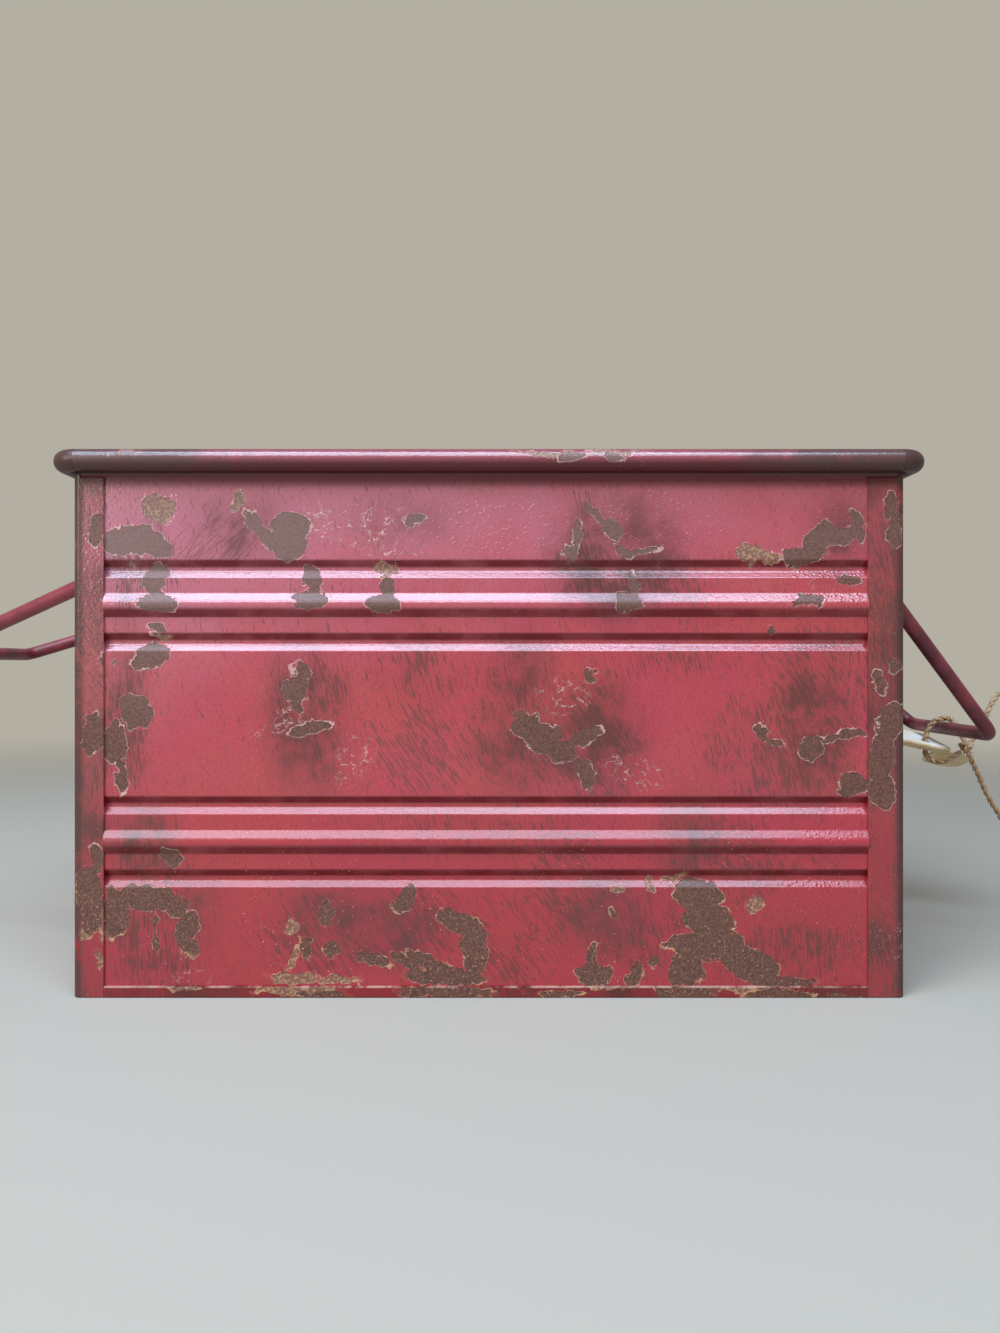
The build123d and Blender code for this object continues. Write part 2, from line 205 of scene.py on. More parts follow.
# The wear on the front, in millimetres from the middle of the floor: x, z, half width, half height, turn
frontWear = {
    "bare": [
        (-128, 164.5, 10.5, 5.6, 0), (-120, 162, 4.5, 4.5, 0), (-120, 150.5, 4.0, 5.2, 0),
        (-119, 142.5, 6.6, 3.2, 0), (-122.5, 122.5, 6.8, 3.6, 12), (-119, 133, 3.0, 1.6, 0),
        (-83, 168.5, 7.6, 3.0, -48), (-71, 170, 6.8, 4.8, 0), (-71.5, 163, 5.6, 5.0, 0),
        (-77, 165, 4.0, 3.0, 0),
        (-64, 150, 3.0, 5.4, 12), (-63.5, 143, 6.0, 3.0, 0), (-27, 172, 3.6, 1.5, 10),
        (-37, 148.5, 3.2, 4.4, 0), (-38, 142, 5.8, 3.4, 0),
        (-68, 118, 3.0, 4.0, 0), (-69, 110.5, 3.8, 4.4, 0), (-69.5, 105, 2.4, 3.0, 0),
        (-64, 97.5, 8.0, 2.2, 14), (-127, 103, 5.8, 5.6, 0), (-135, 92, 4.6, 7.0, 0),
        (-133, 80.5, 1.6, 6.0, 8), (-114, 50, 3.4, 2.8, 0),
        (-135, 31, 4.6, 9.0, 0), (-124, 36, 10.0, 4.4, 0), (-115, 33, 6.5, 3.4, -30),
        (-108.5, 25, 3.4, 7.0, -20), (-106, 18.5, 3.2, 3.2, 0), (-120, 23, 1.3, 6.5, 10),
        (-59, 30, 2.8, 4.8, -20), (-66.5, 17, 2.0, 4.2, 0), (-56, 16.5, 3.2, 2.8, 0),
        (-30, 35, 3.4, 5.6, -30), (-11, 27, 6.5, 4.6, -20), (-5.5, 17, 4.0, 9.5, 0),
        (-16, 7.5, 14.0, 3.6, 0), (-21, 13.5, 8.0, 3.0, -24), (-30, 13, 6.0, 2.2, -34),
        (-41, 13.5, 6.5, 2.2, -16),
        (38.5, 175.5, 6.0, 1.6, -40), (44.5, 170, 2.2, 4.2, 20), (31.2, 167, 1.6, 5.2, 0),
        (29, 160, 2.2, 3.2, 12), (49, 161.5, 4.4, 1.8, -30), (56, 161, 5.2, 1.2, 6),
        (53, 149, 1.8, 4.6, 12), (51, 142, 5.2, 4.2, 0), (111, 159.5, 4.8, 4.0, 0),
        (119, 164.5, 8.0, 4.6, 34), (127, 167, 6.5, 3.4, 12), (133.5, 171, 2.4, 6.6, 18),
        (130.5, 150.2, 5.0, 2.6, 0), (114.5, 142.6, 6.8, 2.0, 12), (101.5, 132.3, 1.6, 1.8, 0),
        (37, 117, 1.8, 2.4, 0), (13, 99, 4.6, 4.6, 0), (19.5, 93, 6.6, 5.2, -34),
        (26, 88, 5.6, 4.2, 0), (35, 93.5, 6.4, 2.8, 34), (35, 80.5, 2.6, 6.2, 22),
        (98.2, 95.5, 2.0, 3.0, 20), (102.8, 92.8, 4.0, 1.1, -16), (116.5, 90.3, 5.0, 3.6, 10),
        (125.5, 93.4, 4.6, 0.9, 16), (131.5, 95, 4.6, 1.6, 0), (131.5, 77, 5.4, 5.0, 0),
        (75.5, 36.5, 8.6, 4.8, 0), (79, 28, 9.0, 6.4, -20), (77, 18.5, 13.0, 4.6, 0),
        (71.5, 9.5, 6.8, 6.4, 0), (94, 11.5, 11.5, 6.4, -24), (88, 18, 7.0, 5.0, -30),
        (109, 6.2, 9.0, 2.2, -12), (38, 7, 7.4, 4.2, 0), (37, 13, 2.6, 5.4, 0),
        (53, 7.5, 2.2, 4.6, -24), (60.5, 12, 1.4, 2.0, 0), (44.5, 30, 0.9, 2.4, 0),
        (44, 192.5, 3.0, 2.0, 0), (30, 193, 5.0, 1.6, 0),
    ],
    "tan": [
        (-118.4, 176, 6.2, 5.2, 0), (-118, 129.6, 3.0, 1.6, 0), (-90.5, 179, 2.0, 4.0, -30),
        (-37, 155, 4.0, 2.0, 0), (-137, 30, 1.4, 8.0, 0), (-106.5, 16.5, 3.4, 1.6, 0),
        (-71, 25, 1.8, 2.2, 0), (-71, 7, 9.0, 2.0, 0), (-54, 6.2, 7.0, 1.3, 0),
        (-72, 13, 0.7, 5.0, -26), (93.5, 160.5, 5.6, 3.4, 0), (101, 159.5, 4.0, 2.2, 0),
        (94.5, 156, 1.5, 1.8, 0), (46, 40, 2.0, 1.2, 0), (58, 40.5, 1.4, 2.0, 0),
        (68, 42.4, 4.2, 1.2, 20), (95, 33.5, 2.8, 3.2, 0), (20, 195, 9.0, 0.9, 0), (46, 195, 9.0, 0.9, 0),
        (-128, 195, 4.0, 0.7, 0), (-129, 156, 1.2, 1.0, 0), (-136, 119, 1.4, 0.9, 40),
    ],
    "islands": [
        (-16.5, 19, 4.6, 3.6, 20), (83, 8, 3.8, 6.6, 22), (-125, 24, 5.0, 6.0, 0),
    ],
    "crackle": [
        (-50, 171, 24.0, 9.0, 0), (-33, 160, 12.0, 4.0, 0), (-49, 86, 7.5, 11.0, -24),
        (-84, 96, 2.6, 4.0, -20), (28, 108, 10.0, 8.0, 0), (52, 82, 12.0, 6.5, -20),
        (63, 154, 2.4, 1.6, 0), (117, 150, 2.0, 3.0, 0), (-73, 100, 6.0, 5.0, 0), (-107, 7, 7.0, 3.2, 0),
    ],
    "wrinkle": [
        (62, 172, 34.0, 15.0, 0), (123, 158, 16.0, 26.0, 0), (122, 57, 17.0, 6.0, 0),
        (118, 34, 17.0, 12.0, -20), (-117, 177, 9.0, 7.0, 0), (4, 170, 38.0, 14.0, 0),
    ],
    "streaks": [
        (10, 104, 18.0, 26.0, 0), (42, 162, 22.0, 26.0, 0),
        (66, 150, 16.0, 26.0, 0), (-64, 104, 18.0, 28.0, 0), (84, 52, 22.0, 20.0, 0),
        (104, 88, 28.0, 26.0, 0), (56, 24, 22.0, 18.0, 0), (-24, 118, 26.0, 14.0, 0),
        (0, 60, 60.0, 10.0, 0), (100, 12, 22.0, 10.0, 0), (60, 122, 60.0, 8.0, 0),
    ],
    "slanted": [
        (-20, 88, 30.0, 20.0, -20), (36, 90, 24.0, 26.0, 0), (-26, 26, 30.0, 18.0, 0),
        (-62, 22, 24.0, 20.0, 0),
        (26, 40, 26.0, 20.0, 30), (8, 20, 22.0, 20.0, 0), (120, 110, 20.0, 34.0, 0),
        (110, 44, 24.0, 12.0, 0),
    ],
    "rising": [
        (-95, 166, 17.0, 11.0, -30), (-104, 160, 10.0, 8.0, 0),
    ],
    "smudge": [
        (12, 114, 12.0, 16.0, 0), (36, 94, 22.0, 22.0, -30), (8, 94, 13.0, 24.0, 0),
        (46, 158, 25.0, 24.0, 0), (-66, 100, 16.0, 27.0, 0), (-88, 168, 17.0, 10.0, 0),
        (-31, 171, 13.0, 6.0, 0), (118, 98, 14.0, 27.0, 0), (127, 166, 13.0, 15.0, 0),
        (-126, 56, 14.0, 14.0, 0), (-108, 32, 10.0, 13.0, 0), (-44, 26, 28.0, 13.0, -14),
        (72, 56, 12.0, 17.0, 0), (44, 28, 20.0, 14.0, -30), (-132, 106, 8.0, 26.0, 0),
    ],
    "edgeStreaks": [
        (-124, 48, 17.0, 22.0, 0), (-132, 96, 12.0, 30.0, 0), (-126, 156, 16.0, 20.0, 0),
        (-122, 24, 20.0, 24.0, 0), (130, 120, 10.0, 24.0, 0), (112, 18, 24.0, 14.0, 0),
    ],
}

# The wear on the laps of the side panels, which show beside the front
lapWear = {
    "bare": [
        (-141, 167.5, 2.6, 6.8, 0), (-142.5, 95, 3.8, 7.0, 0), (-143.5, 35, 4.8, 12.0, 0),
        (-141, 50, 2.4, 5.0, 0), (-139.5, 120, 1.2, 3.2, 14), (145, 178, 2.6, 4.5, 0),
        (147, 168.5, 2.4, 6.5, 0), (141, 114, 2.2, 4.2, 20), (146, 119, 2.2, 2.8, 0),
        (144, 98, 5.0, 8.0, -20), (141, 86, 5.4, 8.0, 0), (141.5, 75, 4.6, 6.6, 0),
    ],
    "tan": [
        (-138.6, 26, 1.2, 6.0, 0), (-145.5, 24.5, 3.0, 2.2, 0), (-141, 14, 1.0, 2.8, 20),
    ],
}

# The scuffs along the front lip of the pan
panWear = {
    "bare": [
        (-16, 1.6, 17.0, 2.6, 0), (70.5, 2, 10.0, 3.2, 0), (105, 1.4, 12.0, 2.2, 0), (-60, 1, 9.0, 1.4, 0),
        (26, 1, 6.0, 1.2, 0), (128, 0.6, 5.0, 1.2, 0),
    ],
    "tan": [
        (-68, 3, 14.0, 1.6, 0), (-110, 3.6, 4.0, 0.9, 0), (42, 3.4, 5.0, 1.1, 0), (88, 3.6, 6.0, 0.7, 0),
    ],
}


def raggedPoint(tree, point, look):
    # big lobes first, then tongues, then teeth with the straight sides of broken film
    warps = [(addNode(tree, "TexNoise", point, 1 / size, 2, 0.5).outputs["Color"], reach)
             for size, reach in look["warps"]]
    warps.append((addNode(tree, "TexVoronoi", point, 1 / look["tooth"]).outputs["Color"], look["toothReach"]))
    ragged = point
    for source, reach in warps:
        shift = addNode(tree, "VectorMath", source, (reach,) * 3, (-reach / 2,) * 3, **scaleAndShift)
        ragged = addNode(tree, "VectorMath", ragged, shift, **plus)
    return ragged


def flakesByNoise(tree, ragged, look):
    # rough distance in millimetres to the nearest bare patch, negative inside it
    scatter = addNode(tree, "TexNoise", ragged, 1 / look["flakeSize"], 3, 0.5)
    slope = 2.2 * look["flakeSize"]              # turns noise into millimetres
    return addNode(tree, "Math", scatter, slope, -slope * look["flakeLevel"], **scaleAndShift)


def flakesBySpots(tree, spots, facing, side, look):
    # the same distance to the placed patches, and where their metal is tan
    placed = addNode(tree, "Math", spots["bare"], spots["tan"], **least)
    if "islands" in spots:
        offIslands = addNode(tree, "Math", spots["islands"], -1.0, **times)
        placed = addNode(tree, "Math", placed, offIslands, **most)
    nearer = addNode(tree, "Math", spots["tan"], spots["bare"], **minus)
    tanZone = addNode(tree, "MapRange", nearer, *look["tanFall"], **smooth)
    # placed wear keeps to the face that looks to the given side
    towards = addNode(tree, "Math", facing["Y"], side, **times)
    away = addNode(tree, "MapRange", towards, *placedFaces, **smooth)
    return addNode(tree, "Math", placed, away, **plus), tanZone


def dirtAndPaintedShade(tree, point, facing, levels, masks):
    # dirt on the rim's corners that hands and shelves rub, grime with a painted shadow in the angle under the
    # rim, and painted shade on flanks of ribs that look down
    rubbed = addNode(tree, "Math", levels["nearEnds"], levels["nearCorners"], **times)
    rubbed = addNode(tree, "Math", rubbed, handDirt["ends"], **times)
    rimDirt = addNode(tree, "TexNoise", point, 1 / handDirt["size"], 4, 0.7)
    rimDirt = addNode(tree, "Math", rimDirt, rubbed, **plus)
    rimDirt = addNode(tree, "MapRange", rimDirt, *handDirt["band"], **smooth)
    rimDirt = addNode(tree, "Math", rimDirt, levels["rim"], **times)
    # a darker colour under the rolled rim: grime and a painted shadow of the rim
    under = addNode(tree, "Math", levels["upToRim"], levels["belowRoll"], **times)
    # painted shade: flanks of ribs that look down are darker, as the light from above misses them
    downFlankShade = addNode(tree, "MapRange", facing["Z"], *downwardFaces, **smooth)
    downFlankShade = addNode(tree, "Math", downFlankShade, addNode(tree, "Math", 1.0, levels["rim"], **minus), **times)
    downFlankShade = addNode(tree, "Math", downFlankShade, masks["shadeBreaks"], **times)
    return rimDirt, under, downFlankShade


def brokenFilm(tree, ragged, flake, zones, masks, look):
    # bare patches, the pale lips round them, and worm-like cracks where the film lifted without falling
    chip = addNode(tree, "MapRange", flake, look["softEdge"], -look["softEdge"], **smooth)
    worm = addNode(tree, "TexNoise", ragged, 1 / look["wormSize"], 2, 0.5)
    worm = addNode(tree, "Math", addNode(tree, "Math", worm, 0.5, **minus), **unsigned)
    worm = addNode(tree, "MapRange", worm, *look["crackWidth"], **smooth)
    cracked = addNode(tree, "Math", zones["crackle"], masks["crackBreaks"], **times)
    crack = addNode(tree, "Math", worm, cracked, **times)
    crack = addNode(tree, "Math", crack, addNode(tree, "Math", 1.0, chip, **minus), **times)
    fromLip = addNode(tree, "Math", addNode(tree, "Math", flake, look["lipAt"], **minus), **unsigned)
    lip = addNode(tree, "MapRange", fromLip, *look["lipFall"], **smooth)
    lip = addNode(tree, "Math", lip, masks["lipBreaks"], **times)
    return chip, crack, lip


def darkBrushing(tree, point, zones, masks, look):
    # dry-brushed dark strokes, fine and slanted, and the smudges under them
    brushed = None
    for kind, (turn, cover, strength) in brushStrokes.items():
        turned = addNode(tree, "Mapping", point, None, (0, radians(-turn), 0), (1.0, 1.0, brush["length"]),
                         vector_type="TEXTURE")
        grain = addNode(tree, "TexNoise", turned, 1 / brush["width"], 2, 0.6)
        level = addNode(tree, "Math", zones[kind], masks["patches"], **times)
        level = addNode(tree, "Math", level, cover, **times)
        stroke = addNode(tree, "Math", grain, level, **plus)
        stroke = addNode(tree, "MapRange", stroke, *brush["band"], **smooth)
        stroke = addNode(tree, "Math", stroke, strength, **times)
        brushed = stroke if brushed is None else addNode(tree, "Math", brushed, stroke, **most)
    unwrinkled = addNode(tree, "Math", zones["wrinkle"], -brush["wrinkleLoss"], 1.0, **scaleAndShift)
    brushed = addNode(tree, "Math", brushed, unwrinkled, **times)
    streaky = addNode(tree, "Math", zones["streaks"], zones["edgeStreaks"], **most)
    streaky = addNode(tree, "Math", streaky, brush["haze"], **times)
    haze = addNode(tree, "Math", streaky, zones["smudge"], **most)
    haze = addNode(tree, "Math", haze, masks["patches"], **times)
    return brushed, addNode(tree, "Math", haze, look["haze"], **times)


def paintedTopSheen(tree, point, axes, look):
    # a painted lilac sheen that stands for the window light's reflection, paler towards the top and the left
    leaning = addNode(tree, "Math", axes["X"], look["sheenLean"], axes["Z"], **scaleAndShift)
    uneven = addNode(tree, "TexNoise", point, 1 / look["sheenSize"], 3, 0.6)
    leaning = addNode(tree, "Math", uneven, look["sheenUneven"], leaning, **scaleAndShift)
    paintedSheen = addNode(tree, "MapRange", leaning, *sheenFront, **smooth)
    return addNode(tree, "Math", paintedSheen, look["sheenStrength"], **times)


def bareMetal(tree, masks, lowDown, tanZone, paintedSheen, look):
    # dull metal under the film, pitted and grained low down, and paler under the painted sheen
    pits = addNode(tree, "Math", masks["pits"], lowDown, **times)
    grains = addNode(tree, "Math", masks["grains"], lowDown, **times)
    tanMetal = addNode(tree, "Mix", masks["tan"], look["tan"], look["gold"], **mixing)
    metal = addNode(tree, "Mix", masks["metal"], look["bareDark"], look["bare"], **mixing)
    return layered(tree, metal, [(pits, 0.6, look["pit"]), (grains, 0.75, look["gold"]),
                                 (tanZone, 1.0, tanMetal), (paintedSheen, 0.75, look["sheenOnMetal"])])


def filmHeight(tree, point, chip, raised, wrinkle, look):
    # in millimetres: fallen flakes, raised lips, orange peel, and pimples where the film wrinkled
    height = addNode(tree, "Math", chip, -look["film"], **times)
    height = addNode(tree, "Math", raised, look["lipHeight"], height, **scaleAndShift)
    peel = addNode(tree, "TexNoise", point, 1 / look["peelSize"], 3, 0.65)
    height = addNode(tree, "Math", peel, look["peel"], height, **scaleAndShift)
    pimple = addNode(tree, "TexVoronoi", point, 1 / look["pimpleSize"]).outputs["Distance"]
    pimple = addNode(tree, "MapRange", pimple, *look["pimpleWidth"], **smooth)
    pimple = addNode(tree, "Math", pimple, wrinkle, **times)
    return addNode(tree, "Math", pimple, look["pimple"], height, **scaleAndShift)


def paintedSteel(name, look, wear, side):
    # wear holds lists of spots, or is None where the flaking only follows noise
    material, tree, shader = newMaterial(name)
    point = objectPoint(tree)
    axes = addNode(tree, "SeparateXYZ", point).outputs
    distances = {"X": addNode(tree, "Math", axes["X"], **unsigned),
                 "Y": addNode(tree, "Math", axes["Y"], **unsigned), "Z": axes["Z"]}
    facing = addNode(tree, "SeparateXYZ", addNode(tree, "TexCoord").outputs["Normal"]).outputs
    masks = noiseMasks(tree, point, paintPatterns)
    levels = {level: addNode(tree, "MapRange", distances[axis], *band, **smooth)
              for level, (axis, *band) in bands.items()}

    ragged = raggedPoint(tree, point, look)
    flake = flakesByNoise(tree, ragged, look)
    tanZone = masks["tanZones"]
    if wear:
        spots = {}
        carried = ragged
        for kind, places in wear.items():
            spots[kind], carried = nearestSpot(tree, carried, places)
        # noise places the rest on the side walls and the pan, and spares the laps
        scattered = addNode(tree, "Math", flake, levels["onLaps"], **plus)
        flake, tanZone = flakesBySpots(tree, spots, facing, side, look)
        if wear is not frontWear:
            flake = addNode(tree, "Math", flake, scattered, **least)
    if wear is frontWear:
        zones = {kind: addNode(tree, "MapRange", spots[kind], *fade, **smooth)
                 for kind, fade in zoneFades.items()}
    else:
        zones = noiseMasks(tree, point, zonePatterns)
    rimDirt, under, downFlankShade = dirtAndPaintedShade(tree, point, facing, levels, masks)
    chip, crack, lip = brokenFilm(tree, ragged, flake, zones, masks, look)
    brushed, haze = darkBrushing(tree, point, zones, masks, look)
    paintedSheen = paintedTopSheen(tree, point, axes, look)
    metal = bareMetal(tree, masks, levels["lowDown"], tanZone, paintedSheen, look)

    # all colours, from the sprayed film up
    specks = addNode(tree, "Math", masks["specks"], masks["speckZones"], **times)
    specks = addNode(tree, "Math", specks, levels["lowSpecks"], **times)
    lipColour = addNode(tree, "Mix", levels["lowDown"], look["lip"], look["goldLip"], **mixing)
    layers = [(masks["speckle"], 0.42, look["deepRed"]), (paintedSheen, 1.0, look["paintedSheen"]),
              # the darker red low down is painted shade
              (levels["deep"], 0.5, look["low"]), (haze, 1.0, look["brown"]),
              (brushed, 1.0, look["brown"]), (levels["rim"], 0.75, look["rimRed"]),
              (under, 0.75, look["grimeAndShadow"]), (downFlankShade, 1.0, look["shade"]), (rimDirt, 0.9, look["handled"])]
    if look["darkBend"]:
        # a dark band along the outer bend of the lap
        bend = addNode(tree, "Math", levels["bendX"], levels["bendY"], **times)
        layers.append((addNode(tree, "Math", bend, masks["bendBreaks"], **times), 0.92, look["handled"]))
    layers += [(chip, 1.0, metal), (crack, 0.42, look["lip"]), (specks, 0.8, look["goldLip"]),
               (lip, 0.55, lipColour)]
    if look["edgeHighlightLine"]:
        # a pale line along the top edge of the pan's lip, a painted highlight of that edge
        edgeHighlight = addNode(tree, "Math", addNode(tree, "Math", axes["Z"], look["edgeHighlightLine"], **minus), **unsigned)
        edgeHighlight = addNode(tree, "MapRange", edgeHighlight, *look["edgeHighlightFall"], **smooth)
        layers.append((addNode(tree, "Math", edgeHighlight, masks["edgeHighlightBreaks"], **times), 0.6, look["lip"]))
    colour = addNode(tree, "Mix", masks["mottle"], look["red"], look["warmRed"], **mixing)
    colour = layered(tree, colour, layers)

    rough = addNode(tree, "Math", chip, 0.25, look["roughness"], **scaleAndShift)
    rough = addNode(tree, "Math", masks["speckle"], 0.06, rough, **scaleAndShift)

    # the lacquer's sheen is lost on bare metal, dirt, smudges and the painted shade, and partly low down
    dull = levels["lowSheen"]
    duller = [(chip, 0.8), (under, 0.75), (downFlankShade, 1.0), (haze, 0.55), (rimDirt, 0.4)]
    if look["darkBend"]:
        duller.append((bend, 0.85))
    for mask, loss in duller:
        dull = addNode(tree, "Math", dull, addNode(tree, "Math", mask, loss, **times), **most)
    lacquer = addNode(tree, "Math", dull, -look["coat"], look["coat"], **scaleAndShift)

    raised = addNode(tree, "Math", lip, crack, **most)
    height = filmHeight(tree, point, chip, raised, zones["wrinkle"], look)
    bump = addNode(tree, "Bump", 1.0, mm, None, height)
    for key, source in {"Base Color": colour, "Roughness": rough, "Normal": bump, "Coat Normal": bump,
                        "Coat Weight": lacquer, "Coat Roughness": look["coatRoughness"],
                        "Coat IOR": look["coatIor"], "Specular IOR Level": look["gloss"]}.items():
        feed(tree, shader.inputs[key], source)
    return material


sideLook = {**paint, "red": "#963039", "warmRed": "#9A3A3A", "flakeSize": 20.0, "flakeLevel": 0.35,
            "haze": 0.6, "sheenStrength": 0.15, "darkBend": True}
panLook = {**paint, "red": "#702A28", "warmRed": "#662A24", "flakeSize": 16.0, "flakeLevel": 0.4, "haze": 0.8,
           "coat": 0.35, "edgeHighlightLine": 4.0, "edgeHighlightFall": (0.5, 0.2)}    # height and fall of the painted highlight line, in millimetres

print("paint on the panels")
nodes["front_panel"].data.materials[0] = paintedSteel("flakedRedPaintFront", paint, frontWear, -1.0)
nodes["back_panel"].data.materials[0] = paintedSteel("flakedRedPaintBack", paint, None, 1.0)
sidePaint = paintedSteel("flakedRedPaintSides", sideLook, lapWear, -1.0)
for name in ("left_side_panel", "right_side_panel"):
    nodes[name].data.materials[0] = sidePaint
nodes["bottom_pan"].data.materials[0] = paintedSteel("flakedRedPaintPan", panLook, panWear, -1.0)

# Steel wire, sprayed wine red: satin, worn darker where hands and the floor touch it
handlePaint = {"wine": "#8A3340", "dark": "#64242E", "worn": "#64504A", "roughness": 0.36,
               "grain": 0.03, "wear": 0.08}      # heights in millimetres
handlePatterns = {"mottle": (14.0, 3, 0.6, 0.35, 0.65), "worn": (5.0, 4, 0.65, 0.66, 0.72)}


def wirePaint(name, look):
    material, tree, shader = newMaterial(name)
    point = objectPoint(tree)
    masks = noiseMasks(tree, point, handlePatterns)
    colour = addNode(tree, "Mix", masks["mottle"], look["wine"], look["dark"], **mixing)
    colour = addNode(tree, "Mix", masks["worn"], colour, look["worn"], **mixing)
    speckle = addNode(tree, "TexNoise", point, 1 / 0.9, 2, 0.6)
    rough = addNode(tree, "Math", speckle, 0.12, look["roughness"], **scaleAndShift)
    height = addNode(tree, "Math", speckle, look["grain"], **times)
    height = addNode(tree, "Math", masks["worn"], -look["wear"], height, **scaleAndShift)
    bump = addNode(tree, "Bump", 1.0, mm, None, height)
    for key, source in {"Base Color": colour, "Roughness": rough, "Normal": bump}.items():
        feed(tree, shader.inputs[key], source)
    return material


# Folded card, matt, with fine fibres and browned by age: white where it faces up and kraft tan where it faces
# down, the tan partly a painted warm shade under the card
card = {"face": "#FFFCF2", "aged": "#F6ECD6", "kraftAndShade": "#FDEBC0", "kraftAndShadeDark": "#F0D298", "fleck": "#B89C70",
        "roughness": 0.8, "tooth": 0.08}         # height of its tooth in millimetres
cardPatterns = {"age": (11.0, 3, 0.6, 0.4, 0.68), "flecks": (0.9, 3, 0.7, 0.62, 0.7)}


def cardStock(name, look):
    material, tree, shader = newMaterial(name)
    point = objectPoint(tree)
    masks = noiseMasks(tree, point, cardPatterns)
    facing = addNode(tree, "SeparateXYZ", addNode(tree, "TexCoord").outputs["Normal"]).outputs
    # colour follows which way the card faces: white up, tan down, the tan standing partly for painted shade
    upward = addNode(tree, "MapRange", facing["Z"], 0.3, 0.7, **smooth)
    face = addNode(tree, "Mix", masks["age"], look["face"], look["aged"], **mixing)
    kraftAndShade = addNode(tree, "Mix", masks["age"], look["kraftAndShade"], look["kraftAndShadeDark"], **mixing)
    kraftAndShade = layered(tree, kraftAndShade, [(masks["flecks"], 0.5, look["fleck"])])
    colour = addNode(tree, "Mix", upward, kraftAndShade, face, **mixing)
    fibres = addNode(tree, "TexNoise", point, 1 / 0.6, 3, 0.6)
    bump = addNode(tree, "Bump", 0.7, look["tooth"] * mm, None, fibres)
    for key, source in {"Base Color": colour, "Roughness": look["roughness"], "Normal": bump}.items():
        feed(tree, shader.inputs[key], source)
    return material


nodes["card_tag"].data.materials[0] = cardStock("whiteAboveShadedKraftBelowCard", card)

# Drawn steel wire inside the rolled rim: grey, with fine lines along it and a bloom of rust
rimWire = {"steel": "#8D8C88", "dull": "#6A6663", "rust": "#7A4A2E", "roughness": 0.38, "lines": 0.05}
rimWirePatterns = {"dull": (6.0, 3, 0.6, 0.4, 0.65), "rust": (9.0, 4, 0.7, 0.58, 0.66)}


def drawnWire(name, look):
    material, tree, shader = newMaterial(name)
    point = objectPoint(tree)
    masks = noiseMasks(tree, point, rimWirePatterns)
    colour = addNode(tree, "Mix", masks["dull"], look["steel"], look["dull"], **mixing)
    colour = addNode(tree, "Mix", masks["rust"], colour, look["rust"], **mixing)
    bright = addNode(tree, "Math", 1.0, masks["rust"], **minus)
    scratches = addNode(tree, "TexNoise", point, 1 / 0.5, 2, 0.6)
    bump = addNode(tree, "Bump", 0.5, look["lines"] * mm, None, scratches)
    for key, source in {"Base Color": colour, "Metallic": bright, "Roughness": look["roughness"],
                        "Normal": bump}.items():
        feed(tree, shader.inputs[key], source)
    return material


nodes["rim_wire"].data.materials[0] = drawnWire("drawnSteelWire", rimWire)

print("handles, straps and rivets")
wineWire = wirePaint("wineRedWirePaint", handlePaint)
for name in ("left_handle", "right_handle"):
    nodes[name].data.materials[0] = wineWire
fittingPaint = wirePaint("darkRedFittingPaint", {**handlePaint, "wine": "#75293A", "worn": "#7A6A60"})
for side in ("left", "right"):
    for end in ("front", "rear"):
        nodes[f"{side}_{end}_strap"].data.materials[0] = fittingPaint
        nodes[f"{side}_{end}_rivets"].data.materials[0] = fittingPaint

# Jute twine, two strands laid together: dull straw brown, hairy, with darker hollows between the strands
jute = {"straw": "#BC9468", "pale": "#D6B892", "dark": "#80603E", "roughness": 0.85, "fibre": 0.1}
jutePatterns = {"tone": (2.6, 2, 0.5, 0.35, 0.65), "fibre": (0.35, 2, 0.6, 0.35, 0.7)}


def juteTwine(name, look):
    material, tree, shader = newMaterial(name)
    masks = noiseMasks(tree, objectPoint(tree), jutePatterns)
    colour = addNode(tree, "Mix", masks["tone"], look["straw"], look["pale"], **mixing)
    colour = layered(tree, colour, [(masks["fibre"], 0.55, look["dark"])])
    bump = addNode(tree, "Bump", 0.6, look["fibre"] * mm, None, masks["fibre"])
    for key, source in {"Base Color": colour, "Roughness": look["roughness"], "Normal": bump}.items():
        feed(tree, shader.inputs[key], source)
    return material


juteMaterial = juteTwine("laidJuteTwine", jute)

# The twine's measures and routes, in metres. The grip of the right handle carries the loop.
twine = {"radius": 0.0013, "strand": 0.00074, "offset": 0.00056, "pitch": 0.0068, "step": 0.0004,
         "hair": 0.00008, "hairs": 2600, "hairReach": 0.0019,    # hairs for each metre
         "frayLength": 0.006, "fraySpread": 1.4, "frayThinning": 0.35}
wireRadius = 0.003
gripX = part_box("right_handle")[1].x - wireRadius
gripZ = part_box("right_handle")[0].z + wireRadius
overGrip = 0.00475
knotCentre = Vector((0.224, -0.003, 0.0815))
knotEdge = 0.00285


def inKnot(point):
    return knotCentre + (Vector(point) - knotCentre).normalized() * knotEdge


